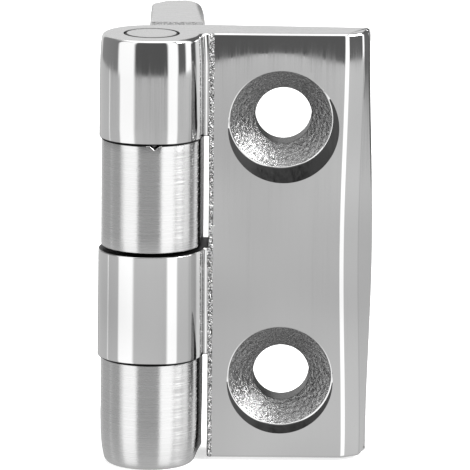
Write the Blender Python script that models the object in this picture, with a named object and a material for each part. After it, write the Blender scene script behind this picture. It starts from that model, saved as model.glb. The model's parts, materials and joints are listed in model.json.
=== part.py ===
"""Investment cast stainless steel butt hinge, with its two leaves folded to a right angle.

Each leaf is one casting with two knuckles, and the four knuckles turn on one plain pin.
A leaf is modelled in its own section plane: u runs from the pin's axis to the free edge,
v from the polished front face to the mounting face behind it, and z up the pin.
"""

import math

import bmesh
import bpy
from mathutils import Matrix, Vector

# Knuckle heights, from the top of the barrel down
KNUCKLE_1_HEIGHT = 0.01182
KNUCKLE_2_HEIGHT = 0.01238
KNUCKLE_3_HEIGHT = 0.01242
KNUCKLE_4_HEIGHT = 0.01240

# Gaps between the knuckles: the two running faces, and the end play in the middle
RUNNING_GAP = 0.0001
END_PLAY = 0.00045

# Barrel radii: the front leaf's knuckles are polished castings, the rear leaf's are turned smaller
FRONT_BARREL_RADIUS = 0.0060
REAR_BARREL_RADIUS = 0.00562
FRONT_BARREL_TAPER = 0.0002

# Pin, and what its bores leave around it
PIN_RADIUS = 0.0031
PIN_CHAMFER = 0.00015
PIN_RECESS = 0.0002
RUNNING_CLEARANCE = 0.00005
SEATED_CLEARANCE = 0.00002
BORE_CHAMFER = 0.00015

# Leaves, measured from the pin's axis
LEAF_REACH = 0.0253
LEAF_ROOT = 0.00655
FRONT_LEAF_THICKNESS = 0.0060
REAR_LEAF_THICKNESS = 0.0059
REAR_FACE_RISE = 0.00045
MOUNTING_FACE_START = 0.0070
FREE_EDGE_CROWN = 0.0005
FACE_REACH = 0.0217
FACE_EDGE_BOW = 0.0004
FRONT_LEAF_FOOT = 0.00035
REAR_LEAF_HEAD_DROP = 0.00045

# Nose: the free edge falls back from the face in two facets and rounds into the mounting face
NOSE_FIRST_FACET_RUN = 0.0019
NOSE_FIRST_FACET_FALL = 0.0013
NOSE_TIP_FALL = 0.0040
NOSE_EDGE_RADIUS = 0.0005
NOSE_MIDDLE_RADIUS = 0.0015
NOSE_TIP_RADIUS = 0.0014
NOSE_BACK_RADIUS = 0.0016

# Rounded ends: the leaf's own ends, the knuckles' running faces and the barrel's foot
LEAF_END_RADIUS = 0.0003
KNUCKLE_EDGE_RADIUS = 0.00015
BARREL_FOOT_RADIUS = 0.00075
BARREL_FOOT_HEIGHT = 0.005

# Toward the top the uppermost knuckle is polished away
BARREL_HEAD_FALL = 0.00028
BARREL_HEAD_HEIGHT = 0.0045

# Toward its ends each leaf is polished away: a little on the face, more behind the free edge
POLISH_FALL = 0.00012
BACK_FALL = 0.0010
POLISH_FALL_HEIGHT = 0.003

# Countersunk screw holes
HOLE_REACH = 0.0150
HOLE_SPACING = 0.0300
HOLE_RADIUS = 0.0032
COUNTERSINK_RADIUS = 0.00595
COUNTERSINK_ANGLE = 90.0

# The front leaf's countersinks are cast a little off their holes, to the barrel's side and down
UPPER_SINK_SIDESTEP = 0.00024
UPPER_SINK_SHIFT = 0.00033
LOWER_SINK_SIDESTEP = 0.00016

# The polishing wheel has drawn the face down below each countersink of the front leaf
UPPER_LIP_RADIUS = 0.0063
UPPER_LIP_SHIFT = 0.00105
LOWER_LIP_RADIUS = 0.0062
LOWER_LIP_SHIFT = 0.0004
LIP_SLOPE = 0.33

# Nick in the upper edge of the second knuckle
NICK_WIDTH = 0.00115
NICK_DEPTH = 0.0005
NICK_ANGLE = 5.3

# Facets
BARREL_STEPS = 54
FILLET_STEPS = 5
BORE_SEGMENTS = 72
HOLE_SEGMENTS = 60
CROWN_STEP = 0.0045

# Heights that follow from the stack of knuckles
KNUCKLE_4 = (0.0, KNUCKLE_4_HEIGHT)
KNUCKLE_3 = (KNUCKLE_4[1] + RUNNING_GAP, KNUCKLE_4[1] + RUNNING_GAP + KNUCKLE_3_HEIGHT)
KNUCKLE_2 = (KNUCKLE_3[1] + END_PLAY, KNUCKLE_3[1] + END_PLAY + KNUCKLE_2_HEIGHT)
KNUCKLE_1 = (KNUCKLE_2[1] + RUNNING_GAP, KNUCKLE_2[1] + RUNNING_GAP + KNUCKLE_1_HEIGHT)
BARREL_TOP = KNUCKLE_1[1]
BARREL_MIDDLE = BARREL_TOP / 2

# The frame's origin is under the middle of the folded hinge, so the pin's axis stands off it
AXIS_OFFSET = -(LEAF_REACH - FRONT_BARREL_RADIUS) / 2
MARGIN = 0.001


def polar(radius, degrees):
    """Point at a radius and an angle from the section's origin."""
    angle = math.radians(degrees)
    return Vector((radius * math.cos(angle), radius * math.sin(angle)))


def rounded(corners, steps=4):
    """Open outline through corners, each given as u, v and the radius that rounds it."""
    points = [Vector(corners[0][:2])]
    for before, corner, after in zip(corners, corners[1:], corners[2:]):
        here = Vector(corner[:2])
        back = (Vector(before[:2]) - here).normalized()
        ahead = (Vector(after[:2]) - here).normalized()
        half_turn = (math.pi - back.angle(ahead)) / 2
        reach = corner[2] * math.tan(half_turn)
        centre = here + (back + ahead).normalized() * corner[2] / math.cos(half_turn)
        start = here + back * reach - centre
        turn = 2 * half_turn if back.cross(ahead) < 0 else -2 * half_turn
        for step in range(steps + 1):
            arc = Matrix.Rotation(turn * step / steps, 2)
            points.append(centre + arc @ start)
    points.append(Vector(corners[-1][:2]))
    return points


def drawn_in(points, inset):
    """Open outline moved to its left, into the metal, with its two ends kept at their u."""
    moved = [Vector((points[0].x, points[0].y + inset))]
    for before, here, after in zip(points, points[1:], points[2:]):
        ahead = ((here - before).normalized() + (after - here).normalized()).normalized()
        moved.append(here + Vector((-ahead.y, ahead.x)) * inset)
    moved.append(Vector((points[-1].x, points[-1].y - inset)))
    return moved


def quarter_round(distance, across, along):
    """How far an outline is drawn in, this far from an end that is rounded across by along."""
    if distance >= along:
        return 0.0
    ratio = 1 - distance / along
    return across * (1 - math.sqrt(max(0.0, 1 - ratio * ratio)))


class Leaf:
    """One leaf's casting, as a stack of sections joined by faces."""

    def __init__(self, span, knuckles, barrel_radius, taper, thickness, rise=0.0):
        self.low, self.high = span
        self.knuckles = knuckles
        self.barrel_radius = barrel_radius
        self.taper = taper
        self.thickness = thickness
        self.rise = rise

    def levels(self):
        """Heights of the sections, closer together where an end is rounded."""
        found = {self.low, self.high, BARREL_MIDDLE}
        for share in (0.3, 0.65, 1.0):
            found.add(self.low + LEAF_END_RADIUS * share)
            found.add(self.high - LEAF_END_RADIUS * share)
        for share in (0.23, 0.45, 0.7, 1.0):
            found.add(self.high - POLISH_FALL_HEIGHT * share)
            found.add(self.low + POLISH_FALL_HEIGHT * share)
        for low, high in self.knuckles:
            found.update((low, high))
            if low > self.low:
                found.add(low + KNUCKLE_EDGE_RADIUS * 0.3)
                found.add(low + KNUCKLE_EDGE_RADIUS)
            else:
                found.update(low + BARREL_FOOT_HEIGHT * share for share in (0.03, 0.12, 0.27, 0.5, 1.0))
            if high < self.high:
                found.add(high - KNUCKLE_EDGE_RADIUS * 0.3)
                found.add(high - KNUCKLE_EDGE_RADIUS)
            else:
                found.update(high - BARREL_HEAD_HEIGHT * share for share in (0.3, 0.5, 0.8, 1.0))
        steps = max(2, round((self.high - self.low) / CROWN_STEP))
        for step in range(1, steps):
            z = self.low + (self.high - self.low) * step / steps
            if min(abs(z - other) for other in found) > CROWN_STEP / 3:
                found.add(z)
        heights = []
        for z in sorted(found):
            if not heights or z - heights[-1] > 0.00002:
                heights.append(z)
        return heights

    def slab(self, z):
        """Outline from the notch wall's front corner, round the nose, to its back corner."""
        away = min(1.0, abs(z - BARREL_MIDDLE) / (BARREL_MIDDLE * 0.95))
        bow = (1 - math.cos(math.pi * away)) / 2
        reach = LEAF_REACH - FREE_EDGE_CROWN * bow
        fall = quarter_round(self.high - z, POLISH_FALL, POLISH_FALL_HEIGHT)
        fall += quarter_round(z - self.low, POLISH_FALL / 2, POLISH_FALL_HEIGHT)
        end = min(z - self.low, self.high - z)
        back = self.thickness - quarter_round(end, BACK_FALL, POLISH_FALL_HEIGHT)
        face = fall - self.rise
        nose = FACE_REACH + FACE_EDGE_BOW * bow
        crease = nose + NOSE_FIRST_FACET_RUN
        lean = math.atan2(reach - crease, NOSE_TIP_FALL - NOSE_FIRST_FACET_FALL)
        wall = back - NOSE_TIP_FALL
        slant = math.tan(max(abs(lean), 0.01) / 2)
        tip_radius = min(NOSE_TIP_RADIUS, wall / 2 / slant)
        room = wall - tip_radius * slant
        corners = [
            (LEAF_ROOT, face),
            (nose, face, NOSE_EDGE_RADIUS),
            (crease, NOSE_FIRST_FACET_FALL, NOSE_MIDDLE_RADIUS),
            (reach, NOSE_TIP_FALL, tip_radius),
            (reach, back, min(NOSE_BACK_RADIUS, 0.85 * room)),
            (MOUNTING_FACE_START, self.thickness),
        ]
        touch = polar(self.barrel_radius, self.blend_angle(self.barrel_radius))
        slope = (self.thickness - touch.y) / (MOUNTING_FACE_START - touch.x)
        corner_v = self.thickness - (MOUNTING_FACE_START - LEAF_ROOT) * slope
        points = rounded(corners) + [Vector((LEAF_ROOT, corner_v))]
        inset = quarter_round(end, LEAF_END_RADIUS, LEAF_END_RADIUS)
        return drawn_in(points, inset), fall, inset

    def blend_angle(self, radius):
        """Angle on the knuckle where the line from the mounting face touches it."""
        far = math.hypot(MOUNTING_FACE_START, self.thickness)
        lean = math.atan2(self.thickness, MOUNTING_FACE_START)
        return math.degrees(lean + math.acos(radius / far))

    def knuckle_inset(self, z):
        """How far the barrel is drawn in at this height by its rounded ends."""
        for low, high in self.knuckles:
            if low - 1e-7 <= z <= high + 1e-7:
                if low > self.low:
                    below = quarter_round(z - low, KNUCKLE_EDGE_RADIUS, KNUCKLE_EDGE_RADIUS)
                else:
                    below = quarter_round(z - low, BARREL_FOOT_RADIUS, BARREL_FOOT_HEIGHT)
                edge = KNUCKLE_EDGE_RADIUS if high < self.high else LEAF_END_RADIUS
                above = quarter_round(high - z, edge, edge)
                if high == self.high:
                    above += quarter_round(high - z, BARREL_HEAD_FALL, BARREL_HEAD_HEIGHT)
                foot = self.knuckles[0][0]
                return max(below, above) + self.taper * (z - foot) / (self.high - foot)
        return 0.0

    def barrel(self, z, fall, slab_inset):
        """Outline round the knuckle from the notch wall's back corner to its front one."""
        radius = self.barrel_radius
        fillet = (LEAF_ROOT ** 2 + self.rise ** 2 - radius ** 2) / (2 * (radius - self.rise))
        centre = Vector((LEAF_ROOT, -self.rise - fillet))
        tangent = math.degrees(math.atan2(centre.y, centre.x))
        start = self.blend_angle(radius)
        inset = self.knuckle_inset(z)
        sweep = 360 + tangent - start
        points = [polar(radius - inset, start + sweep * step / BARREL_STEPS) for step in range(BARREL_STEPS + 1)]
        for step in range(1, FILLET_STEPS):
            share = step / FILLET_STEPS
            angle = 180 + tangent - (90 + tangent) * share
            drawn = inset * (1 - share) + slab_inset * share
            point = centre + polar(fillet + drawn, angle)
            point.y += fall * share
            points.append(point)
        return points

    def build(self, mesh, reflected=False):
        """Join the sections of the leaf into one closed mesh, reflected to stand u along +Y."""
        bm = bmesh.new()
        slabs, barrels = [], []
        heights = self.levels()
        for z in heights:
            outline, fall, inset = self.slab(z)
            slabs.append([bm.verts.new((p.x, p.y, z)) for p in outline])
            held = any(low - 1e-7 <= z <= high + 1e-7 for low, high in self.knuckles)
            ring = self.barrel(z, fall, inset) if held else []
            barrels.append([bm.verts.new((p.x, p.y, z)) for p in ring])
        for i in range(len(heights) - 1):
            middle = (heights[i] + heights[i + 1]) / 2
            lower, upper = list(slabs[i]), list(slabs[i + 1])
            if any(low < middle < high for low, high in self.knuckles):
                lower += barrels[i]
                upper += barrels[i + 1]
            for j in range(len(lower)):
                k = (j + 1) % len(lower)
                bm.faces.new((lower[j], lower[k], upper[k], upper[j]))
        bm.faces.new(reversed(slabs[0] + barrels[0]))
        bm.faces.new(slabs[-1] + barrels[-1])
        for i, z in enumerate(heights[1:-1], start=1):
            cap = [slabs[i][-1]] + barrels[i] + [slabs[i][0]]
            if any(abs(z - high) < 1e-7 for low, high in self.knuckles):
                bm.faces.new(cap)
            if any(abs(z - low) < 1e-7 for low, high in self.knuckles):
                bm.faces.new(reversed(cap))
        if reflected:
            swap = Matrix(((0, 1, 0), (1, 0, 0), (0, 0, 1)))
            bmesh.ops.transform(bm, matrix=swap.to_4x4(), verts=bm.verts)
            bmesh.ops.reverse_faces(bm, faces=bm.faces)
        bm.to_mesh(mesh)
        bm.free()


def metal(name, shade, roughness):
    """Plain stainless steel of one shade and one roughness."""
    material = bpy.data.materials.new(name)
    material.use_nodes = True
    shader = material.node_tree.nodes["Principled BSDF"]
    shader.inputs["Base Color"].default_value = (shade, shade, shade, 1.0)
    shader.inputs["Metallic"].default_value = 1.0
    shader.inputs["Roughness"].default_value = roughness
    material.diffuse_color = (shade, shade, shade, 1.0)
    return material


def place(name, mesh, material, location):
    """Put a mesh into the scene as a named object."""
    thing = bpy.data.objects.new(name, mesh)
    thing.location = location
    if material:
        mesh.materials.append(material)
    bpy.context.scene.collection.objects.link(thing)
    return thing


def turned(name, profile, segments):
    """Closed mesh turned round its own Z from a profile of radius and height, bottom to top."""
    bm = bmesh.new()
    points = [bm.verts.new((radius, 0, height)) for radius, height in profile]
    edges = [bm.edges.new(pair) for pair in zip(points, points[1:])]
    bmesh.ops.spin(
        bm, geom=points + edges, cent=(0, 0, 0), axis=(0, 0, 1), angle=math.tau, steps=segments, use_duplicate=False
    )
    bmesh.ops.remove_doubles(bm, verts=bm.verts, dist=0.000002)
    bmesh.ops.recalc_face_normals(bm, faces=bm.faces)
    mesh = bpy.data.meshes.new(name)
    bm.to_mesh(mesh)
    bm.free()
    return mesh


def cut(thing, cutter):
    """Take a cutter out of a piece, and hide the cutter."""
    modifier = thing.modifiers.new(cutter.name, "BOOLEAN")
    modifier.operation = "DIFFERENCE"
    modifier.solver = "EXACT"
    modifier.object = cutter
    cutter.hide_render = True
    cutter.display_type = "WIRE"


def bore_cutter(name, radius, axis, low_flare, high_flare):
    """Through bore along the barrel, with a chamfer where it leaves the barrel's ends."""
    profile = [(0.0, -MARGIN)]
    if low_flare:
        profile += [(radius + BORE_CHAMFER + MARGIN, -MARGIN), (radius, BORE_CHAMFER)]
    else:
        profile += [(radius, -MARGIN)]
    if high_flare:
        profile += [(radius, BARREL_TOP - BORE_CHAMFER), (radius + BORE_CHAMFER + MARGIN, BARREL_TOP + MARGIN)]
    else:
        profile += [(radius, BARREL_TOP + MARGIN)]
    profile += [(0.0, BARREL_TOP + MARGIN)]
    return place(name, turned(name, profile, BORE_SEGMENTS), None, axis)


def screw_cutter(name, face, thickness, sidestep=0.0, shift=0.0):
    """Screw hole with its countersink; its own Z runs from the axis plane into the leaf."""
    slope = 1 / math.tan(math.radians(COUNTERSINK_ANGLE / 2))
    depth = (COUNTERSINK_RADIUS - HOLE_RADIUS) * slope
    mouth = COUNTERSINK_RADIUS + MARGIN / slope
    profile = [(0.0, face - MARGIN), (mouth, face - MARGIN), (HOLE_RADIUS, face + depth)]
    profile += [(HOLE_RADIUS, thickness + MARGIN), (0.0, thickness + MARGIN)]
    mesh = turned(name, profile, HOLE_SEGMENTS)
    lean = (depth + MARGIN) / depth
    for vertex in mesh.vertices:
        if vertex.co.z < face:
            vertex.co.x -= sidestep * lean
            vertex.co.y += shift * lean
    return mesh


def lip_cutter(name, radius):
    """Shallow dish that the polishing wheel leaves round a countersink."""
    profile = [(0.0, -MARGIN / 2), (radius + MARGIN / 2 / LIP_SLOPE, -MARGIN / 2), (0.0, radius * LIP_SLOPE)]
    return turned(name, profile, HOLE_SEGMENTS)


def nick_cutter(name):
    """Wedge lying across the barrel's edge, point down, with its length along its own X."""
    bm = bmesh.new()
    half = NICK_WIDTH / 2 * (1 + MARGIN / NICK_DEPTH)
    corners = [(-half, MARGIN), (0.0, -NICK_DEPTH), (half, MARGIN)]
    verts = [bm.verts.new((-MARGIN, y, z)) for y, z in corners]
    face = bm.faces.new(verts)
    swept = bmesh.ops.extrude_face_region(bm, geom=[face])
    moved = [item for item in swept["geom"] if isinstance(item, bmesh.types.BMVert)]
    bmesh.ops.translate(bm, verts=moved, vec=(2 * MARGIN, 0, 0))
    bmesh.ops.recalc_face_normals(bm, faces=bm.faces)
    mesh = bpy.data.meshes.new(name)
    bm.to_mesh(mesh)
    bm.free()
    return mesh


def clear_scene():
    for thing in list(bpy.data.objects):
        bpy.data.objects.remove(thing, do_unlink=True)


def main():
    clear_scene()
    axis = Vector((AXIS_OFFSET, AXIS_OFFSET, 0.0))
    polished = metal("polished_steel", 0.66, 0.08)
    satin = metal("satin_steel", 0.58, 0.28)
    ground = metal("ground_steel", 0.62, 0.22)

    # Front leaf: u is +X and v is +Y
    mesh = bpy.data.meshes.new("front_leaf")
    span = (FRONT_LEAF_FOOT, BARREL_TOP)
    leaf = Leaf(span, (KNUCKLE_3, KNUCKLE_1), FRONT_BARREL_RADIUS, FRONT_BARREL_TAPER, FRONT_LEAF_THICKNESS)
    leaf.build(mesh)
    front_leaf = place("front_leaf", mesh, polished, axis)

    # Rear leaf: the same section reflected, so that u is +Y and v is +X
    mesh = bpy.data.meshes.new("rear_leaf")
    span = (0.0, BARREL_TOP - REAR_LEAF_HEAD_DROP)
    leaf = Leaf(span, (KNUCKLE_4, KNUCKLE_2), REAR_BARREL_RADIUS, 0.0, REAR_LEAF_THICKNESS, REAR_FACE_RISE)
    leaf.build(mesh, reflected=True)
    rear_leaf = place("rear_leaf", mesh, satin, axis)

    # Bores: the pin is seated in the front leaf and turns in the rear one
    seated = PIN_RADIUS + SEATED_CLEARANCE
    running = PIN_RADIUS + RUNNING_CLEARANCE
    cut(front_leaf, bore_cutter("front_bore", seated, axis, False, True))
    cut(rear_leaf, bore_cutter("rear_bore", running, axis, True, False))

    # Screw holes, with the front face of each leaf facing the driver
    for end, z, sidestep, shift in (
        ("lower", BARREL_MIDDLE - HOLE_SPACING / 2, LOWER_SINK_SIDESTEP, 0.0),
        ("upper", BARREL_MIDDLE + HOLE_SPACING / 2, UPPER_SINK_SIDESTEP, UPPER_SINK_SHIFT),
    ):
        mesh = screw_cutter("front_screw", 0.0, FRONT_LEAF_THICKNESS, sidestep, shift)
        cutter = place("front_screw_" + end, mesh, None, axis)
        cutter.location += Vector((HOLE_REACH, 0, z))
        cutter.rotation_euler = (-math.pi / 2, 0, 0)
        cut(front_leaf, cutter)
        mesh = screw_cutter("rear_screw", -REAR_FACE_RISE, REAR_LEAF_THICKNESS)
        cutter = place("rear_screw_" + end, mesh, None, axis)
        cutter.location += Vector((0, HOLE_REACH, z))
        cutter.rotation_euler = (0, math.pi / 2, 0)
        cut(rear_leaf, cutter)

    # Drawn lips below the front leaf's countersinks
    for end, radius, sidestep, shift, z in (
        ("lower", LOWER_LIP_RADIUS, LOWER_SINK_SIDESTEP, LOWER_LIP_SHIFT, BARREL_MIDDLE - HOLE_SPACING / 2),
        ("upper", UPPER_LIP_RADIUS, 0.0, UPPER_LIP_SHIFT, BARREL_MIDDLE + HOLE_SPACING / 2),
    ):
        cutter = place("lip_" + end, lip_cutter("lip", radius), None, axis)
        cutter.location += Vector((HOLE_REACH - sidestep, 0, z - shift))
        cutter.rotation_euler = (-math.pi / 2, 0, 0)
        cut(front_leaf, cutter)

    # Nick in the second knuckle, beside the middle of its front
    cutter = place("nick", nick_cutter("nick"), None, axis)
    facing = math.radians(-90 + NICK_ANGLE)
    cutter.location += Vector((REAR_BARREL_RADIUS * math.cos(facing), REAR_BARREL_RADIUS * math.sin(facing), 0))
    cutter.location.z = KNUCKLE_2[1]
    cutter.rotation_euler = (0, 0, facing)
    cut(rear_leaf, cutter)

    # Pin, flush with the top of the barrel
    profile = [
        (0.0, PIN_RECESS),
        (PIN_RADIUS - PIN_CHAMFER, PIN_RECESS),
        (PIN_RADIUS, PIN_RECESS + PIN_CHAMFER),
        (PIN_RADIUS, BARREL_TOP - PIN_CHAMFER),
        (PIN_RADIUS - PIN_CHAMFER, BARREL_TOP),
        (0.0, BARREL_TOP),
    ]
    mesh = turned("hinge_pin", profile, BORE_SEGMENTS)
    mesh.shade_smooth()
    mesh.set_sharp_from_angle(angle=math.radians(30))
    place("hinge_pin", mesh, ground, axis)

    for leaf in (front_leaf, rear_leaf):
        leaf.data.shade_smooth()
        leaf.data.set_sharp_from_angle(angle=math.radians(30))


main()
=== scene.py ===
# Cast stainless steel butt hinge: polished and turned leaves on their pin, in a plain studio
import json
import math

import bmesh
import bpy
from bpy.props import FloatProperty, FloatVectorProperty, IntProperty, PointerProperty
from mathutils import Matrix, Vector


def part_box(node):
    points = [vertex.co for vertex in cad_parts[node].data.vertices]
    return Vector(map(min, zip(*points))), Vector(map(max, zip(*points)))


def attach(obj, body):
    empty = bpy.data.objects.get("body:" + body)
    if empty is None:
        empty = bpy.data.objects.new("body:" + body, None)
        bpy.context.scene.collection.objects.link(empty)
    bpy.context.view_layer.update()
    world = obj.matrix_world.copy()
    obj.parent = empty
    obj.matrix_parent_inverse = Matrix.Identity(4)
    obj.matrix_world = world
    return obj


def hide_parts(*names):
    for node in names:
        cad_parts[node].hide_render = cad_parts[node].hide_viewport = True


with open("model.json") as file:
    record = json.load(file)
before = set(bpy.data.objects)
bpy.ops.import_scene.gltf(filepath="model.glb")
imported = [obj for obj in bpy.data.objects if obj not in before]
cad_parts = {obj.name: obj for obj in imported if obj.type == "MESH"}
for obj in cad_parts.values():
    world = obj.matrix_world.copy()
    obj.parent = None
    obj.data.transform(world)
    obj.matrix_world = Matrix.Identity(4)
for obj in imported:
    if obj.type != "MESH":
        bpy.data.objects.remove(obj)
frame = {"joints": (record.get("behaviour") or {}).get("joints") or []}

bl_info = {
    "name": "Cast butt hinge",
    "version": (1, 0, 0),
    "blender": (4, 5, 0),
    "location": "3D View > Sidebar > Hinge",
    "description": "Models the leaves and the pin of a cast stainless steel butt hinge and lights them",
    "category": "Object",
}

MM = 0.001
CLEAR = 1 * MM

# How near two places have to be to count as one, and two heights as the same
NEAR = 0.01 * MM
LEVEL = 0.002 * MM

# Bearings in degrees: of the nick round the pin's axis, and how far the flattened front runs left and right
NICK_BEARING = -84.7
FLAT_LEFT, FLAT_RIGHT = 55.0, 35.0

# Where the section is cut into rings: near both ends, near the head, and evenly between
END_RINGS = (0.45, 0.8, 1.2, 1.7, 2.3, 3.0)
HEAD_RINGS = (3.7, 4.4)
EVEN_START = 5.2 * MM
EVEN_STEPS = 16

# The face's columns as shares of its width, the steps in a fillet, and the nose: the width of its
# first facet, and the depth from the axis plane at which its bow gives way to the crown
COLUMN_SHARES = (0.1, 0.22, 0.36, 0.5, 0.64, 0.78, 0.9)
FILLET_STEPS = 8
FACET_WIDTH = 1.9 * MM
BOW_DEPTH = 2.65 * MM

# Rounding of edges: the weight of the small ones against the leaf's ends, the pin's edge, and the
# angles in degrees from which an edge is rounded and from which it shows as an edge
SMALL_EDGE = 0.35
PIN_EDGE = 0.3 * MM
ROUNDED_ANGLE = 20
SHARP_ANGLE = 32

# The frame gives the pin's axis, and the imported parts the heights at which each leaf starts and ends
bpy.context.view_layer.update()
AXIS = Vector(frame["joints"][0]["pos_m"][:2])
FRONT_LOW, FRONT_HIGH = (corner.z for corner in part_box("front_leaf"))
REAR_LOW, REAR_HIGH = (corner.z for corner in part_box("rear_leaf"))


def number(name, description, value, **limits):
    """Property for one number."""
    return FloatProperty(name=name, description=description, default=value, **limits)


def length(name, description, value):
    """Length in metres, given here in millimetres."""
    return number(name, description, value * MM, min=0.0, unit="LENGTH", precision=5)


def factor(name, description, value):
    """Share from 0 to 1."""
    return number(name, description, value, min=0.0, max=1.0, subtype="FACTOR")


def watts(name, description, value):
    """Power of a lamp in watts."""
    return number(name, description, value, min=0.0, unit="POWER")


def rotation(name, description, degrees):
    """Angle, given here in degrees."""
    return number(name, description, math.radians(degrees), unit="ROTATION")


def grey(name, description, level):
    """Colour, given here as one level of grey."""
    return FloatVectorProperty(
        name=name, description=description, default=(level, level, level), size=3, subtype="COLOR"
    )


class HingeSizes(bpy.types.PropertyGroup):
    front_radius: length("Front knuckle radius", "Radius of the front leaf's knuckles at their foot", 6.0)
    front_taper: length("Front knuckle taper", "How much the front leaf's knuckles lose up to the top", 0.2)
    rear_radius: length("Rear knuckle radius", "Radius of the rear leaf's turned knuckles", 5.62)
    running_gap: length("Running gap", "Gap between two knuckles that run on each other", 0.1)
    end_play: length("End play", "Gap between the second and third knuckles", 0.45)
    knuckle_1: length("Knuckle 1", "Height of the top knuckle", 11.82)
    knuckle_2: length("Knuckle 2", "Height of the second knuckle", 12.38)
    knuckle_3: length("Knuckle 3", "Height of the third knuckle", 12.42)
    knuckle_4: length("Knuckle 4", "Height of the bottom knuckle", 12.40)
    head_fall: length("Head fall", "How far the top knuckle is polished away at its head", 0.28)
    head_height: length("Head height", "Height over which the top knuckle is polished away", 4.5)
    flat: length("Front flat", "How far polishing has flattened the front of the front leaf's knuckles", 0.3)
    foot_round: length("Foot rounding", "How far the bottom knuckle is drawn in at its foot", 0.75)
    foot_height: length("Foot height", "Height over which the bottom knuckle is drawn in", 5.0)
    reach: length("Leaf reach", "From the pin's axis to the free edge", 25.3)
    root: length("Leaf root", "From the pin's axis to the notch walls", 6.55)
    front_thickness: length("Front leaf thickness", "From the axis plane to the mounting face", 6.0)
    rear_thickness: length("Rear leaf thickness", "From the axis plane to the mounting face", 5.9)
    rear_rise: length("Rear face rise", "How far the rear leaf's face stands before the axis plane", 0.45)
    mounting_start: length("Mounting face start", "From the axis to where the mounting face is flat", 7.0)
    crown: length("Free edge crown", "How much further the free edge reaches at its middle", 0.5)
    face_reach: length("Face reach", "From the pin's axis to the nose", 21.7)
    face_bow: length("Face bow", "How much further the face reaches at its ends", 0.4)
    seam: length("Seam", "Width of the unworked strip beside the notch walls", 0.55)
    head_seam: length("Head seam", "Width of the unworked strip on the rear leaf's top end", 3.3)
    end_fall: length("End fall", "How far the face is polished away at its top end", 0.17)
    back_fall: length("Back fall", "How far the back is polished away at its ends, behind the free edge", 1.0)
    fall_height: length("Fall height", "Height over which the ends are polished away", 3.0)
    arch_side: length("Arch at the sides", "Height of the polished fall at the leaf's sides", 5.2)
    arch_middle: length("Arch at the middle", "Height of the polished fall at the leaf's middle", 2.6)
    end_edge: length("End edge", "Rounding of the leaf's ends", 0.3)
    pin_radius: length("Pin radius", "Radius of the pin", 3.1)
    bore_radius: length("Bore radius", "Radius of the bores in the knuckles", 3.13)
    steps: IntProperty(name="Barrel steps", description="Facets round a knuckle", default=96, min=24, max=200)


class HoleSizes(bpy.types.PropertyGroup):
    reach: length("Hole reach", "From the pin's axis to the screw holes", 15.0)
    spacing: length("Hole spacing", "Between the two screw holes", 30.0)
    radius: length("Hole radius", "Radius of a screw hole", 3.2)
    sink_radius: length("Countersink radius", "Radius of a countersink at the face", 5.95)
    upper_sidestep: length("Upper sidestep", "How far the upper countersink stands toward the barrel", 0.24)
    upper_shift: length("Upper shift", "How far the upper countersink stands below its hole", 0.33)
    lower_sidestep: length("Lower sidestep", "How far the lower countersink stands toward the barrel", 0.16)
    upper_lip: length("Upper lip radius", "Radius of the drawn lip at the upper hole", 6.3)
    upper_drop: length("Upper lip drop", "How far that lip stands below its hole", 1.05)
    lower_lip: length("Lower lip radius", "Radius of the drawn lip at the lower hole", 6.05)
    lower_drop: length("Lower lip drop", "How far that lip stands below its hole", 0.55)
    lip_slope: number("Lip slope", "Slope of the drawn lips", 0.33, min=0.05, max=1.0)


class SteelFinish(bpy.types.PropertyGroup):
    steel: grey("Steel", "Colour of the bare steel", 0.64)
    cast: grey("Cast skin", "Colour in the cast countersinks", 0.34)
    # The bore colour is far darker than the steel: painted shade in the screw holes
    bore: grey("Bore", "Colour in the screw holes, darkened as painted shade", 0.05)
    # The lip colour is far darker than the steel: a painted dark reflection of the room above the lips
    lip: grey("Lip", "Colour of the lips, darkened as a painted reflection of the dark room", 0.065)
    # The joint colour is far darker than the steel: painted shade in the joints and gaps between the parts
    joint: grey("Joint", "Colour of the faces in the joints, darkened as painted shade", 0.045)
    polish: factor("Polish", "Roughness of the polished face", 0.07)
    turning: factor("Turning", "Roughness of the turned knuckles", 0.25)


class StudioSettings(bpy.types.PropertyGroup):
    floor: grey("Floor", "Colour of the pale floor", 0.86)
    floor_glow: factor("Floor glow", "White of the floor that only the camera sees", 0.55)
    lamp: watts("Lamp", "Power of the lamp overhead", 3.5)
    side_lamp: watts("Side lamp", "Power of the lamp on the right", 11.0)
    lens: number("Lens", "Focal length of the camera", 444.76, min=50, unit="CAMERA")
    pitch: rotation("Pitch", "How far the camera looks down", 12.095)
    roll: rotation("Roll", "How far the camera is rolled", 0.501)
    distance: length("Distance", "From the camera to the axis plane", 660.03)
    aim_across: length("Aim across", "Where the camera aims, beside the pin's axis", 9.593)
    aim_height: length("Aim height", "Where the camera aims, above the floor", 26.44)


# Modelling by hand, in code

def deselect():
    """Nothing selected and nothing in edit mode."""
    if bpy.context.object and bpy.context.object.mode == "EDIT":
        bpy.ops.object.mode_set(mode="OBJECT")
    bpy.ops.object.select_all(action="DESELECT")


def pick(piece):
    """Make one piece the only one selected."""
    deselect()
    piece.select_set(True)
    bpy.context.view_layer.objects.active = piece


def edit(piece):
    """Open one piece for editing."""
    pick(piece)
    bpy.ops.object.mode_set(mode="EDIT")


def select_whole():
    """Select everything in the edited mesh."""
    bpy.ops.mesh.select_all(action="SELECT")


def choose(test, kind="VERT"):
    """Select the vertices, edges or faces of the edited mesh that pass a test."""
    bpy.ops.mesh.select_mode(type=kind)
    bpy.ops.mesh.select_all(action="DESELECT")
    mesh = bpy.context.object.data
    bm = bmesh.from_edit_mesh(mesh)
    for item in {"VERT": bm.verts, "EDGE": bm.edges, "FACE": bm.faces}[kind]:
        if test(item):
            item.select_set(True)
    bm.select_flush_mode()
    bmesh.update_edit_mesh(mesh, loop_triangles=False, destructive=False)


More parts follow.
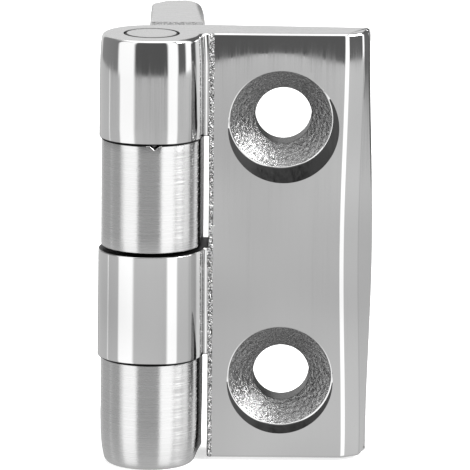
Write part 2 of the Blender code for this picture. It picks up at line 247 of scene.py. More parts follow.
def set_in_place():
    """Write the active object's place, turn and scale into its mesh."""
    bpy.ops.object.transform_apply(location=True, rotation=True, scale=True)


def settle(piece, name):
    """Leave edit mode with the piece's place in its mesh."""
    bpy.ops.object.mode_set(mode="OBJECT")
    set_in_place()
    piece.name = name
    piece.data.name = name
    return piece


def put_in_order(piece):
    """Order a mesh by place, so that the cuts come out the same in each run."""
    mesh = piece.data
    order = sorted(range(len(mesh.vertices)), key=lambda k: mesh.vertices[k].co[:])
    rank = {k: place for place, k in enumerate(order)}
    faces = []
    for face in mesh.polygons:
        corners = [rank[k] for k in face.vertices]
        first = corners.index(min(corners))
        faces.append(corners[first:] + corners[:first])
    ordered = bpy.data.meshes.new(mesh.name)
    ordered.from_pydata([mesh.vertices[k].co[:] for k in order], [], sorted(faces))
    piece.data = ordered


def tidy(piece, apart=LEVEL):
    """Merge vertices nearer than apart, turn the faces outwards, and put the mesh in order."""
    edit(piece)
    select_whole()
    bpy.ops.mesh.remove_doubles(threshold=apart)
    bpy.ops.mesh.normals_make_consistent(inside=False)
    bpy.ops.object.mode_set(mode="OBJECT")
    put_in_order(piece)


def change(piece, kind, **settings):
    """Apply one modifier to a piece."""
    pick(piece)
    modifier = piece.modifiers.new(kind, kind)
    for name, value in settings.items():
        setattr(modifier, name, value)
    bpy.ops.object.modifier_apply(modifier=modifier.name)


def cut(piece, cutter):
    """Take a cutter out of a piece, and remove the cutter."""
    deselect()
    put_in_order(cutter)
    change(piece, "BOOLEAN", operation="DIFFERENCE", solver="EXACT", object=cutter)
    bpy.data.objects.remove(cutter, do_unlink=True)


def walk(points):
    """Extrude the selected vertex from point to point."""
    here = points[0]
    for there in points[1:]:
        bpy.ops.mesh.extrude_vertices_move(TRANSFORM_OT_translate={"value": there - here})
        here = there


def polar(radius, degrees):
    """Point at a radius and an angle from the pin's axis, in the leaf's section."""
    angle = math.radians(degrees)
    return Vector((radius * math.cos(angle), radius * math.sin(angle)))


def quarter_round(distance, across, along):
    """How far a surface is drawn in at a distance from an end that is rounded across by along."""
    if distance >= along:
        return 0.0
    ratio = 1 - distance / along
    return across * (1 - math.sqrt(max(0.0, 1 - ratio * ratio)))


class Casting:
    """One leaf's section and heights; across is u, from the axis to the free edge, and deep is v."""

    def __init__(self, sizes, reflected):
        self.sizes = sizes
        self.reflected = reflected
        self.outward = Vector((-1.0, 0.0, 0.0)) if reflected else Vector((0.0, -1.0, 0.0))
        k4 = sizes.knuckle_4
        k3 = k4 + sizes.running_gap
        k2 = k3 + sizes.knuckle_3 + sizes.end_play
        k1 = k2 + sizes.knuckle_2 + sizes.running_gap
        self.top = k1 + sizes.knuckle_1
        if reflected:
            self.low, self.high = REAR_LOW, REAR_HIGH
            self.knuckles = ((0.0, k4), (k2, k2 + sizes.knuckle_2))
            self.radius = sizes.rear_radius
            self.thickness = sizes.rear_thickness
            self.rise = sizes.rear_rise
            self.face_reach = sizes.face_reach + 0.4 * MM
            self.crease, self.tip, self.heel = 1.0 * MM, 3.3 * MM, 3.75 * MM
            self.back_radius = 2.0
        else:
            self.low, self.high = FRONT_LOW, FRONT_HIGH
            self.knuckles = ((k3, k3 + sizes.knuckle_3), (k1, self.top))
            self.radius = sizes.front_radius
            self.thickness = sizes.front_thickness
            self.rise = 0.0
            self.face_reach = sizes.face_reach
            self.crease, self.tip, self.heel = 1.3 * MM, 4.0 * MM, 4.42 * MM
            self.back_radius = 1.45
        self.columns = [(self.face_reach - sizes.root) * share for share in COLUMN_SHARES]

    def at(self, across, deep, height=0.0):
        """Place in the scene of a point of the section."""
        if self.reflected:
            across, deep = deep, across
        return Vector((AXIS.x + across, AXIS.y + deep, height))

    def across(self, co):
        """How far a place is from the axis, toward the free edge."""
        return co.y - AXIS.y if self.reflected else co.x - AXIS.x

    def deep(self, co):
        """How far a place is behind the axis plane."""
        return co.x - AXIS.x if self.reflected else co.y - AXIS.y

    def move(self, across, deep):
        """Translate the selection in the section."""
        value = (deep, across, 0.0) if self.reflected else (across, deep, 0.0)
        bpy.ops.transform.translate(value=value)

    def turn(self, steps, degrees, centre):
        """Spin the selection round a point of the section."""
        angle = math.radians(degrees if self.reflected else -degrees)
        bpy.ops.mesh.spin(steps=steps, angle=angle, center=self.at(*centre, self.low), axis=(0, 0, 1))

    def flatten_front(self):
        """Press the front of the polished knuckles' outline a little flat."""
        if self.reflected:
            return
        angles = []
        for vertex in bmesh.from_edit_mesh(bpy.context.object.data).verts:
            u, v = self.across(vertex.co), self.deep(vertex.co)
            away = math.degrees(math.atan2(u, -v))
            if abs(math.hypot(u, v) - self.radius) < NEAR and -FLAT_LEFT < away < FLAT_RIGHT:
                angles.append(away)
        for away in angles:
            place = self.at(*polar(self.radius, away - 90))
            choose(lambda vertex: (vertex.co.xy - place.xy).length < NEAR)
            half = FLAT_RIGHT if away > 0 else FLAT_LEFT
            inset = self.sizes.flat * (1 + math.cos(math.pi * away / half)) / 2
            self.move(*polar(-inset, away - 90))

    def lay_out(self, steps):
        """Draw the section as a face at the leaf's foot: the knuckle, its fillet, the face and the nose."""
        sizes, radius, rise = self.sizes, self.radius, self.rise
        self.fillet = (sizes.root ** 2 + rise ** 2 - radius ** 2) / (2 * (radius - rise))
        self.centre = Vector((sizes.root, -rise - self.fillet))
        tangent = math.degrees(math.atan2(self.centre.y, self.centre.x))
        corner = math.hypot(sizes.mounting_start, self.thickness)
        start = math.degrees(math.atan2(self.thickness, sizes.mounting_start) + math.acos(radius / corner))
        deselect()
        bpy.ops.mesh.primitive_plane_add(size=MM, location=self.at(*polar(radius, start), self.low))
        set_in_place()
        bpy.ops.object.mode_set(mode="EDIT")
        bpy.ops.mesh.select_mode(type="VERT")
        select_whole()
        bpy.ops.mesh.merge(type="CENTER")
        self.turn(steps, 360 + tangent - start, (0.0, 0.0))
        self.turn(FILLET_STEPS, -(90 + tangent), self.centre)
        walk([self.at(*point, self.low) for point in (
            (sizes.root, -rise),
            *((sizes.root + run, -rise) for run in self.columns),
            (self.face_reach, -rise),
            (self.face_reach + FACET_WIDTH, self.crease),
            (sizes.reach, self.tip),
            (sizes.reach, self.thickness),
            (sizes.mounting_start, self.thickness),
        )])
        self.flatten_front()
        select_whole()
        bpy.ops.mesh.edge_face_add()

    def round_nose(self):
        """Round the nose's corners, each with its radius in millimetres and half the angle that it turns."""
        sizes = self.sizes
        for across, deep, radius, half_turn in (
            (self.face_reach, -self.rise, 1.3, 19.0),
            (self.face_reach + FACET_WIDTH, self.crease, 1.5, 10.5),
            (sizes.reach, self.tip, 1.4, 16.1),
            (sizes.reach, self.thickness, self.back_radius, 45.0),
        ):
            corner = self.at(across, deep, self.low)
            choose(lambda vertex: (vertex.co - corner).length < NEAR)
            offset = radius * MM * math.tan(math.radians(half_turn))
            bpy.ops.mesh.bevel(offset_type="OFFSET", offset=offset, segments=6, affect="VERTICES")

    def ring(self, height, test):
        """Select the points of one ring that pass a test on their place in the section."""
        def wanted(vertex):
            return abs(vertex.co.z - height) < LEVEL and test(self.across(vertex.co), self.deep(vertex.co))

        choose(wanted)

    def knuckle_inset(self, height):
        """How far the knuckles are drawn in at this height, by their taper and by the rounded foot."""
        sizes = self.sizes
        if self.reflected:
            return quarter_round(height, sizes.foot_round, sizes.foot_height)
        first = self.knuckles[0][0]
        head = quarter_round(self.high - height, sizes.head_fall, sizes.head_height)
        return head + sizes.front_taper * (height - first) / (self.high - first)

    def shape_knuckle(self, height):
        """Draw the knuckle in at one height, and its fillet by less and less toward the face."""
        inset = self.knuckle_inset(height)
        root = self.sizes.root
        if abs(inset) < LEVEL:
            return
        tangent = math.degrees(math.atan2(self.centre.y, self.centre.x))
        inner, outer = self.radius - self.sizes.flat - NEAR, self.radius + NEAR
        self.ring(height, lambda u, v: u < root - 0.02 * MM and inner < math.hypot(u, v) < outer)
        scale = 1 - inset / self.radius
        bpy.ops.transform.resize(value=(scale, scale, 1.0), center_override=self.at(0.0, 0.0, height))
        for step in range(1, FILLET_STEPS):
            share = step / FILLET_STEPS
            angle = 180 + tangent - (90 + tangent) * share
            place = self.centre + polar(self.fillet, angle)
            self.ring(height, lambda u, v: math.hypot(u - place.x, v - place.y) < NEAR)
            self.move(*polar(inset * (1 - share), angle))

    def shape_face(self, height):
        """Bow the nose and polish the ends away at one height."""
        sizes, rise, thickness = self.sizes, self.rise, self.thickness
        away = min(1.0, abs(height - self.top / 2) / (self.top / 2 * 0.95))
        bow = (1 - math.cos(math.pi * away)) / 2
        end = min(height - self.low, self.high - height)
        back = sizes.back_fall * quarter_round(end, 1.0, sizes.fall_height)
        foot = quarter_round(height - self.low, sizes.end_fall / 3, sizes.fall_height)
        fall = foot + quarter_round(self.high - height, sizes.end_fall, sizes.arch_side)
        bend = self.crease + 0.6 * MM
        if fall:
            for run in (0.0, *self.columns):
                place = sizes.root + run
                side = min(1.0, abs(2 * run / (self.face_reach - sizes.root) - 1))
                arch = sizes.arch_middle + (sizes.arch_side - sizes.arch_middle) * side ** 2
                self.ring(height, lambda u, v: v < -rise + NEAR and abs(u - place) < 2 * NEAR)
                self.move(0.0, foot + quarter_round(self.high - height, sizes.end_fall, arch))
            corner = self.face_reach - 0.5 * MM
            self.ring(height, lambda u, v: v < -rise + 0.1 * MM and u > corner)
            self.move(-0.2 * fall, fall)
            self.ring(height, lambda u, v: -rise + 0.1 * MM < v < bend and u > self.face_reach)
            self.move(-0.8 * fall, 0.8 * fall)
            self.ring(height, lambda u, v: bend <= v < self.heel and u > self.face_reach)
            self.move(-fall, 1.6 * fall)
        if back:
            self.ring(height, lambda u, v: v > bend and u > sizes.reach - 2 * MM)
            scale = [1.0, 1.0, 1.0]
            scale[0 if self.reflected else 1] = (thickness - back - bend) / (thickness - bend)
            bpy.ops.transform.resize(value=scale, center_override=self.at(sizes.reach, bend, height))
        if bow:
            self.ring(height, lambda u, v: v < BOW_DEPTH and u > self.face_reach - 1 * MM)
            self.move(sizes.face_bow * bow, 0.0)
            self.ring(height, lambda u, v: v > BOW_DEPTH and u > sizes.reach - 3 * MM)
            self.move(-sizes.crown * bow, 0.0)

    def raise_up(self):
        """Extrude the section to the leaf's height, cut it into rings, and shape each ring."""
        sizes = self.sizes
        select_whole()
        bpy.ops.mesh.extrude_region_move(TRANSFORM_OT_translate={"value": (0.0, 0.0, self.high - self.low)})
        heights = []
        for distance in END_RINGS:
            heights += [self.low + distance * MM, self.high - distance * MM]
        heights += [self.high - distance * MM for distance in HEAD_RINGS]
        if self.reflected:
            heights += [3.9 * MM, sizes.foot_height]
        start, stop = self.low + EVEN_START, self.high - EVEN_START
        heights += [start + (stop - start) * step / EVEN_STEPS for step in range(EVEN_STEPS + 1)]
        for height in sorted(heights):
            select_whole()
            bpy.ops.mesh.bisect(plane_co=(0.0, 0.0, height), plane_no=(0.0, 0.0, 1.0))
        for height in sorted(heights + [self.low, self.high]):
            self.shape_knuckle(height)
            self.shape_face(height)

    def cut_notches(self, piece):
        """Cut the barrel away where the other leaf's knuckles run."""
        stops = [self.low - CLEAR]
        for low, high in self.knuckles:
            stops += [low, high]
        stops.append(self.high + CLEAR)
        for low, high in zip(stops[::2], stops[1::2]):
            if high <= self.low or low >= self.high:
                continue
            inner = self.at(-8 * MM, -8 * MM, low)
            outer = self.at(self.sizes.root, 9 * MM, high)
            deselect()
            bpy.ops.mesh.primitive_cube_add(size=1.0, location=(inner + outer) / 2)
            box = bpy.context.object
            box.dimensions = outer - inner
            set_in_place()
            cut(piece, box)

    def cut_bore(self, piece):
        """Bore the knuckles for the pin."""
        deselect()
        middle = self.at(0.0, 0.0, self.top / 2)
        bpy.ops.mesh.primitive_cylinder_add(
            vertices=96, radius=self.sizes.bore_radius, depth=60 * MM, location=middle
        )
        cut(piece, bpy.context.object)

    def cut_screw_hole(self, piece, holes, height, sidestep=0.0, shift=0.0):
        """Cut one screw hole and its countersink, which may stand a little off the hole."""
        lean = self.at(-sidestep, 0.0, -shift) - self.at(0.0, 0.0, 0.0)
        depth = holes.sink_radius - holes.radius
        mouth = self.at(holes.reach, -self.rise - CLEAR, height) + lean * (depth + CLEAR) / depth
        foot = self.at(holes.reach, -self.rise + depth, height)
        turned = (0.0, math.pi / 2, 0.0) if self.reflected else (math.pi / 2, 0.0, 0.0)
        deselect()
        bpy.ops.mesh.primitive_circle_add(
            vertices=96, radius=holes.sink_radius + CLEAR, fill_type="NGON", location=mouth, rotation=turned
        )
        cutter = bpy.context.object
        set_in_place()
        edit(cutter)
        select_whole()
        bpy.ops.mesh.extrude_region_move(TRANSFORM_OT_translate={"value": foot - mouth})
        scale = holes.radius / (holes.sink_radius + CLEAR)
        bpy.ops.transform.resize(value=(scale, scale, scale), center_override=foot)
        bpy.ops.mesh.extrude_region_move(TRANSFORM_OT_translate={"value": self.outward * -8 * MM})
        select_whole()
        bpy.ops.mesh.normals_make_consistent(inside=False)
        cut(piece, cutter)

    def cut_lip(self, piece, holes, height, radius, sidestep, drop):
        """Draw the face down below a countersink, as the polishing wheel has."""
        proud = 0.5 * MM
        wide = radius + proud / holes.lip_slope
        tall = wide * holes.lip_slope
        centre = self.at(holes.reach - sidestep, tall / 2 - proud, height - drop)
        deselect()
        bpy.ops.mesh.primitive_cone_add(
            vertices=96, radius1=wide, radius2=0.0, depth=tall, location=centre,
            rotation=(-math.pi / 2, 0.0, 0.0),
        )
        cut(piece, bpy.context.object)

    def nick_place(self):
        """Middle of the nick, on the rim of the leaf's upper knuckle."""
        rim = polar(self.radius, NICK_BEARING)
        return Vector((AXIS.x + rim.x, AXIS.y + rim.y, self.knuckles[1][1]))

    def cut_nick(self, piece):
        """Cut the small nick in the upper edge of the second knuckle."""
        deselect()
        bpy.ops.mesh.primitive_cylinder_add(
            vertices=4, radius=1 * MM, depth=2 * MM, location=self.nick_place()
        )
        cutter = bpy.context.object
        cutter.scale = (0.5, 0.58, 1.0)
        cutter.rotation_euler = (0.0, math.pi / 2, math.radians(NICK_BEARING))
        set_in_place()
        cut(piece, cutter)

    def soften(self, piece):
        """Round the edges: the leaf's ends by most, the rest by a little."""
        edit(piece)
        bpy.ops.mesh.select_mode(type="EDGE")
        bpy.ops.mesh.select_all(action="DESELECT")
        bpy.ops.mesh.edges_select_sharp(sharpness=math.radians(ROUNDED_ANGLE))
        bpy.ops.transform.edge_bevelweight(value=SMALL_EDGE)

        bm = bmesh.from_edit_mesh(piece.data)
        bore = self.sizes.bore_radius + 0.1 * MM
        for edge in bm.edges:
            if not edge.select:
                continue
            heights = [vertex.co.z for vertex in edge.verts]
            at_end = all(min(abs(z - self.low), abs(z - self.high)) < LEVEL for z in heights)
            outside = all((vertex.co.xy - AXIS).length > bore for vertex in edge.verts)
            edge.select_set(at_end and outside)
        bm.select_flush_mode()
        bmesh.update_edit_mesh(piece.data, loop_triangles=False, destructive=False)
        bpy.ops.transform.edge_bevelweight(value=1.0)
        change(
            piece, "BEVEL", limit_method="WEIGHT", width=self.sizes.end_edge, segments=3,
            use_clamp_overlap=False, loop_slide=True,
        )
        tidy(piece)

    def mark_strips(self, piece):
        """Cut the edges of the unworked strips into the faces."""
        edit(piece)
        along = self.at(1.0, 0.0) - self.at(0.0, 0.0)
        for strip in (self.sizes.seam, self.sizes.head_seam) if self.reflected else (self.sizes.seam,):
            select_whole()
            bpy.ops.mesh.bisect(plane_co=self.at(self.sizes.root + strip, 0.0), plane_no=along)

    def smooth(self, piece):
        """Shade smooth, with the flats flat and the edges of the drawn lips crisp."""
        def at_lip(edge):
            if len(edge.link_faces) != 2:
                return False
            low, high = sorted(face.normal.dot(self.outward) for face in edge.link_faces)
            return 0.93 < low < 0.97 and high > 0.99

        edit(piece)
        choose(at_lip, "EDGE")
        bpy.ops.mesh.mark_sharp()
        pick(piece)
        bpy.ops.object.shade_smooth_by_angle(angle=math.radians(SHARP_ANGLE))
        change(piece, "WEIGHTED_NORMAL", keep_sharp=True, weight=90)


def make_leaf(name, reflected, sizes, holes):
    """Model one leaf, from its section to its rounded edges."""
    casting = Casting(sizes, reflected)
    casting.lay_out(sizes.steps)
    casting.round_nose()
    casting.raise_up()
    piece = settle(bpy.context.object, name)
    tidy(piece)
    casting.cut_notches(piece)
    casting.cut_bore(piece)
    middle, half = casting.top / 2, holes.spacing / 2
    if reflected:
        casting.cut_screw_hole(piece, holes, middle - half)
        casting.cut_screw_hole(piece, holes, middle + half)
        casting.cut_nick(piece)
    else:
        casting.cut_screw_hole(piece, holes, middle - half, holes.lower_sidestep)
        casting.cut_screw_hole(piece, holes, middle + half, holes.upper_sidestep, holes.upper_shift)
        casting.cut_lip(piece, holes, middle - half, holes.lower_lip, holes.lower_sidestep, holes.lower_drop)
        casting.cut_lip(piece, holes, middle + half, holes.upper_lip, 0.0, holes.upper_drop)
    tidy(piece, 0.05 * MM)
    casting.soften(piece)
    casting.mark_strips(piece)
    casting.smooth(piece)
    return piece, casting


def make_pin(name, sizes, top):
    """Model the pin: a bar with rounded ends, ground flush with the top knuckle."""
    foot = 0.2 * MM
    deselect()
    bpy.ops.mesh.primitive_circle_add(
        vertices=96, radius=sizes.pin_radius, fill_type="NGON", location=(*AXIS, foot)
    )
    piece = bpy.context.object
    set_in_place()
    edit(piece)
    select_whole()
    bpy.ops.mesh.extrude_region_move(TRANSFORM_OT_translate={"value": (0.0, 0.0, top - foot)})
    select_whole()
    bpy.ops.mesh.normals_make_consistent(inside=False)
    choose(lambda edge: abs(edge.verts[0].co.z - edge.verts[1].co.z) < 0.001 * MM, "EDGE")
    bpy.ops.mesh.bevel(offset_type="OFFSET", offset=PIN_EDGE, segments=3, affect="EDGES")
    choose(lambda face: abs(face.normal.z) > 0.999, "FACE")
    bpy.ops.mesh.inset(thickness=0.8 * MM, depth=0.0)
    piece = settle(piece, name)
    bpy.ops.object.shade_smooth_by_angle(angle=math.radians(50))
    return piece


# Steel, as node groups and materials

def new_group(name, inputs, outputs):
    """Empty shader node group with named number sockets."""
    group = bpy.data.node_groups.new(name, "ShaderNodeTree")
    for label, value in inputs:
        kind = "NodeSocketVector" if isinstance(value, tuple) else "NodeSocketFloat"
        socket = group.interface.new_socket(name=label, in_out="INPUT", socket_type=kind)
        socket.default_value = value
    for label in outputs:
        group.interface.new_socket(name=label, in_out="OUTPUT", socket_type="NodeSocketFloat")
    return group


def feed(tree, socket, value):
    """Link an input to another node's output, or set it to a value."""
    if isinstance(value, bpy.types.NodeSocket):
        tree.links.new(value, socket)
    else:
        socket.default_value = value


def add(tree, kind, *first, **named):
    """New node, its first inputs fed in their order, and its properties and other inputs by name."""
    node = tree.nodes.new(kind)
    inputs = dict(enumerate(first))
    for key, value in named.items():
        if hasattr(node, key):
            setattr(node, key, value)
        else:
            inputs[key.replace("_", " ")] = value
    for key, value in inputs.items():
        feed(tree, node.inputs[key], value)
    return node


def worked_lines():
    """Fine lines that a tool leaves, drawn out along the direction in which they are stretched."""
    tree = new_group("Worked lines", [("Stretch", (1.0, 1.0, 1.0)), ("Unevenness", 0.5)], ["Height", "Tone"])
    given = add(tree, "NodeGroupInput").outputs
    place = add(tree, "ShaderNodeTexCoord").outputs["Object"]
    drawn_out = add(tree, "ShaderNodeVectorMath", place, given["Stretch"], operation="MULTIPLY").outputs[0]
    fine = add(tree, "ShaderNodeTexNoise", Vector=drawn_out, Scale=1.0, Detail=3.0, Roughness=0.65)
    wider = add(tree, "ShaderNodeVectorMath", drawn_out, operation="SCALE", Scale=0.18).outputs[0]
    broad = add(tree, "ShaderNodeTexNoise", Vector=wider, Scale=1.0, Detail=2.0, Roughness=0.5)
    blend = add(tree, "ShaderNodeMix", given["Unevenness"], data_type="FLOAT")
    feed(tree, blend.inputs[2], fine.outputs["Fac"])
    feed(tree, blend.inputs[3], broad.outputs["Fac"])
    add(tree, "NodeGroupOutput", Height=blend.outputs[0], Tone=broad.outputs["Fac"])
    return tree


def hand_waves():
    """Slow waves that polishing by hand leaves in a face."""
    tree = new_group("Hand waves", [("Size", 60.0)], ["Height"])
    size = add(tree, "NodeGroupInput").outputs["Size"]
    place = add(tree, "ShaderNodeTexCoord").outputs["Object"]
    noise = add(tree, "ShaderNodeTexNoise", Vector=place, Scale=size, Detail=1.0, Roughness=0.4)
    add(tree, "NodeGroupOutput", Height=noise.outputs["Fac"])
    return tree


def cast_grain():
    """Pebbled skin of an unworked casting."""
    tree = new_group("Cast grain", [("Size", 2500.0)], ["Height", "Tone"])
    size = add(tree, "NodeGroupInput").outputs["Size"]
    place = add(tree, "ShaderNodeTexCoord").outputs["Object"]
    pebbles = add(tree, "ShaderNodeTexVoronoi", feature="SMOOTH_F1", Vector=place, Scale=size, Smoothness=0.6)
    finer = add(tree, "ShaderNodeMath", size, 2.3, operation="MULTIPLY").outputs[0]
    grit = add(tree, "ShaderNodeTexNoise", Vector=place, Scale=finer, Detail=4.0, Roughness=0.7)
    both = add(tree, "ShaderNodeMath", pebbles.outputs["Distance"], grit.outputs["Fac"], operation="ADD")
    add(tree, "NodeGroupOutput", Height=both.outputs[0], Tone=grit.outputs["Fac"])
    return tree


def steel(name, colour, roughness):
    """New metal material, with its shader."""
    material = bpy.data.materials.new(name)
    material.use_nodes = True
    shader = material.node_tree.nodes["Principled BSDF"]
    shader.inputs["Metallic"].default_value = 1.0
    shader.inputs["Base Color"].default_value = (*colour, 1.0)
    shader.inputs["Roughness"].default_value = roughness
    return material, shader


def spread(tree, source, low, high, start=0.3, stop=0.7):
    """Value that runs from low to high as the source runs from start to stop."""
    node = add(tree, "ShaderNodeMapRange", source, From_Min=start, From_Max=stop, To_Min=low, To_Max=high)
    return node.outputs["Result"]


def mix(tree, source, start, stop, low, high):
    """Colour from low to high, each a socket or a colour, as the source runs from start to stop."""
    node = add(tree, "ShaderNodeMix", spread(tree, source, 0.0, 1.0, start, stop), data_type="RGBA")
    feed(tree, node.inputs[6], low)
    feed(tree, node.inputs[7], high)
    return node.outputs[2]


def tint(tree, source, colour, least, most, start=0.3, stop=0.7):
    """Colour made darker and lighter by the source."""
    dark = (*(c * least for c in colour), 1.0)
    pale = (*(min(1.0, c * most) for c in colour), 1.0)
    return mix(tree, source, start, stop, dark, pale)


def raise_normal(tree, shader, heights):
    """Chain of bumps that feeds the shader's normal, each a source with its height in metres."""
    before = {}
    for source, distance in heights:
        bump = add(tree, "ShaderNodeBump", Height=source, Distance=distance, Strength=1.0, **before)
        before = {"Normal": bump.outputs["Normal"]}
    feed(tree, shader.inputs["Normal"], bump.outputs["Normal"])


def worked_steel(name, groups, colour, roughness, stretch, depth, waves, uneven=0.5, tone=0.04, clouds=False):
    """Steel worked in one direction, its tone following its lines or else its slow waves."""
    material, shader = steel(name, colour, roughness)
    tree = material.node_tree
    lines = add(tree, "ShaderNodeGroup", node_tree=groups["lines"], Stretch=stretch, Unevenness=0.4).outputs
    slow = add(tree, "ShaderNodeGroup", node_tree=groups["waves"], Size=70.0).outputs["Height"]
    rough = spread(tree, lines["Height"], roughness * (1 - uneven), roughness * (1 + uneven))
    skin = tint(tree, slow if clouds else lines["Tone"], colour, 1 - tone, 1 + tone)
    feed(tree, shader.inputs["Base Color"], skin)
    feed(tree, shader.inputs["Roughness"], rough)
    raise_normal(tree, shader, [(slow, waves), (lines["Height"], depth)])
    return material


def cast_steel(name, groups, colour, roughness, size, depth, least=0.8, most=1.2, margin=0.2):
    """Steel as it leaves the mould."""
    material, shader = steel(name, colour, roughness)
    tree = material.node_tree
    grain = add(tree, "ShaderNodeGroup", node_tree=groups["grain"], Size=size).outputs
    rough = spread(tree, grain["Tone"], roughness * 0.7, roughness * 1.3)
    skin = tint(tree, grain["Tone"], colour, least, most, 0.5 - margin, 0.5 + margin)
    feed(tree, shader.inputs["Base Color"], skin)
    feed(tree, shader.inputs["Roughness"], rough)
    raise_normal(tree, shader, [(grain["Height"], depth)])
    return material


def make_finishes(finish):
    """All materials of the hinge, by the name of the finish; depths and waves are in metres."""
    groups = {"lines": worked_lines(), "waves": hand_waves(), "grain": cast_grain()}
    bright = tuple(finish.steel)
    polished = worked_steel(
        "polished_steel", groups, bright, finish.polish, stretch=(5200.0, 5200.0, 70.0),
        depth=0.0000012, waves=0.00002, uneven=0.9, tone=0.1, clouds=True,
    )
    turned = worked_steel(
        "turned_steel", groups, bright, finish.turning, stretch=(60.0, 60.0, 20000.0),
        depth=0.000008, waves=0.000003, uneven=0.3, tone=0.05,
    )
    shader = turned.node_tree.nodes["Principled BSDF"]
    shader.inputs["Anisotropic"].default_value = 1.0
    shader.inputs["Anisotropic Rotation"].default_value = 0.25
    ground = worked_steel(
        "ground_steel", groups, bright, 0.3, stretch=(600.0, 7000.0, 600.0), depth=0.000003, waves=0.00001
    )
    # Lips: dark steel as a painted reflection of the dark room above them
    lip = worked_steel(
        "lip_painted_reflection", groups, tuple(finish.lip), 0.45, stretch=(5200.0, 5200.0, 70.0),
        depth=0.000002, waves=0.00001,
    )
    cast = cast_steel(
        "cast_steel", groups, tuple(finish.cast), 0.22, size=2000.0,
        depth=0.00008, least=0.6, most=1.5, margin=0.15,
    )
    seam = cast_steel(
        "cast_seam", groups, bright, 0.25, size=2400.0, depth=0.00016, least=0.1, most=1.2, margin=0.08
    )
    return {
        "polished": polished,
        "turned": turned,
        "ground": ground,
        "cast": cast,
        # The screw holes' walls: near-black steel as painted shade in the holes
        "bore": cast_steel("hole_painted_shade", groups, tuple(finish.bore), 0.35, size=2600.0, depth=0.00002),
        "lip": lip,
        "seam": seam,
        # Joints: near-black steel as painted shade between the knuckles, in the bores and on the notch walls
        "joint": cast_steel(
            "joint_painted_shade", groups, tuple(finish.joint), 0.5, size=1500.0, depth=0.00001, least=0.4, most=2.0
        ),
    }


MADE = {}


def finishes():
    """The hinge's materials, made once."""
    if not MADE:
        MADE.update(make_finishes(bpy.context.scene.hinge_finish))
    return MADE


def paint(piece, materials, rule):
    """Give the piece its materials, and each face the one that the rule names for it."""
    piece.data.materials.clear()
    names = list(materials)
    for name in names:
        piece.data.materials.append(materials[name])
    for face in piece.data.polygons:
        face.material_index = names.index(rule(face))


def finish_leaf(piece, casting, holes, main):
    """Name the finish of each face of a leaf, by its place and by the way it looks."""
    made = finishes()
    wanted = {name: made[name] for name in (main, "ground", "cast", "bore", "lip", "seam", "joint")}
    sizes, nick = casting.sizes, casting.nick_place()
    middle, half, wall = casting.top / 2, holes.spacing / 2, sizes.root
    play = sizes.knuckle_4 + sizes.running_gap + sizes.knuckle_3 + sizes.end_play / 2
    joints = (sizes.knuckle_4, play + sizes.end_play / 2 + sizes.knuckle_2)

    def in_shaded_joint(height, tilt):
        """Whether a face of a knuckle is darkened with painted shade at a joint, by its height and its tilt.
        """
        if abs(height - play) < 0.7 * MM:
            return tilt > 0.8
        if min(abs(height - joint) for joint in joints) < 0.5 * MM:
            return tilt > 0.15
        return tilt > 0.3

    def rule(face):
        centre, normal = face.center, face.normal
        across, deep = casting.across(centre), casting.deep(centre)
        facing, tilt = normal.dot(casting.outward), abs(normal.z)
        toward_edge = normal.y if casting.reflected else normal.x
        at_end = min(centre.z - casting.low, casting.high - centre.z) < 0.5 * MM
        at_nick = casting.reflected and (centre - nick).length < 0.9 * MM
        near_hole = min(math.hypot(across - holes.reach, centre.z - middle - side) for side in (-half, half))
        # The countersinks take the cast skin; the hole walls take the bore colour, painted shade in the holes
        if near_hole < 5.5 * MM and -0.2 < facing < 0.93 and deep < casting.thickness - 0.02 * MM:
            return "cast" if facing > 0.3 else "bore"
        # The knuckles' bores and the flares at their ends take the joint colour, painted shade
        if math.hypot(across, deep) < sizes.bore_radius + 0.12 * MM and tilt < 0.95:
            return "joint"
        # So do the knuckles' ends at the joints and the notch walls beside the barrel: painted shade between
        # the parts
        if across < wall + 0.02 * MM and in_shaded_joint(centre.z, tilt) and not at_end and not at_nick:
            return "joint"
        if abs(across - wall) < 0.12 * MM and toward_edge < -0.4:
            return "joint"
        if wall - 0.05 * MM < across < wall + sizes.seam and facing > 0.6:
            return "seam"
        if casting.reflected and normal.z > 0.6 and wall < across < wall + sizes.head_seam:
            return "seam"
        # The drawn lips below the countersinks take the lip colour, a painted dark reflection
        on_face = across < casting.face_reach - 0.6 * MM and near_hole < 7.8 * MM
        if on_face and 0.94 < facing < 0.96 and deep > 0.02 * MM:
            return "lip"
        return "ground" if tilt > 0.9 else main

    paint(piece, wanted, rule)


class HINGE_OT_front_leaf(bpy.types.Operator):
    """Model the front leaf: polished, with the top knuckle and the third"""

    bl_idname = "hinge.front_leaf"
    bl_label = "Front leaf"
    bl_options = {"REGISTER", "UNDO"}

    def execute(self, context):
        scene = context.scene
        piece, casting = make_leaf("front_leaf_casting", False, scene.hinge_sizes, scene.hinge_holes)
        finish_leaf(piece, casting, scene.hinge_holes, "polished")
        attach(piece, "front")
        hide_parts("front_leaf")
        return {"FINISHED"}


class HINGE_OT_rear_leaf(bpy.types.Operator):
    """Model the rear leaf: its two knuckles turned, with the second knuckle and the bottom one"""

    bl_idname = "hinge.rear_leaf"
    bl_label = "Rear leaf"
    bl_options = {"REGISTER", "UNDO"}

    def execute(self, context):
        scene = context.scene
        piece, casting = make_leaf("rear_leaf_casting", True, scene.hinge_sizes, scene.hinge_holes)
        finish_leaf(piece, casting, scene.hinge_holes, "turned")
        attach(piece, "rear")
        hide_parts("rear_leaf")
        return {"FINISHED"}


